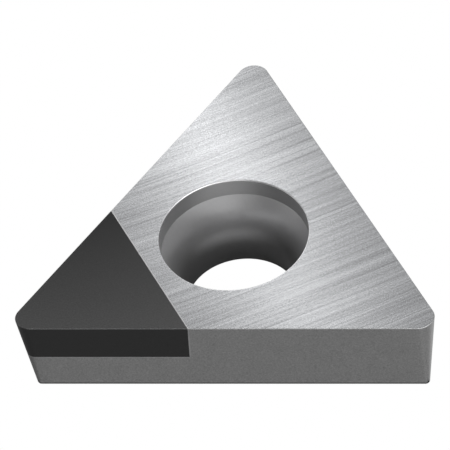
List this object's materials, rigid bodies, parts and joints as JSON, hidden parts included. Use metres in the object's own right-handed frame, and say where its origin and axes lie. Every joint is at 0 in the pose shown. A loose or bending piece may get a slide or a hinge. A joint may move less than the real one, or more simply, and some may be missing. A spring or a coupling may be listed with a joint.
{
  "type": "carbide insert",
  "caption": "Triangular turning insert with relieved flanks, a screw hole with a curved head seat, and a dark superhard corner tip brazed into a pocket.",
  "frame": {"origin": "on the screw hole's axis, at the base face that rests in the holder", "axes": "+Z along the screw hole's axis, out of the top face with the cutting edges; +X along the front edge, away from the tipped corner; +Y towards the corner opposite that edge"},
  "size_m": [0.0104, 0.0092, 0.0024],
  "materials": {
    "carbide": "satin",
    "braze": "satin",
    "superhard": "satin"
  },
  "bodies": {
    "root": {"insert_body": "carbide", "braze_joint": "braze", "cutting_tip": "superhard"}
  },
  "joints": []
}
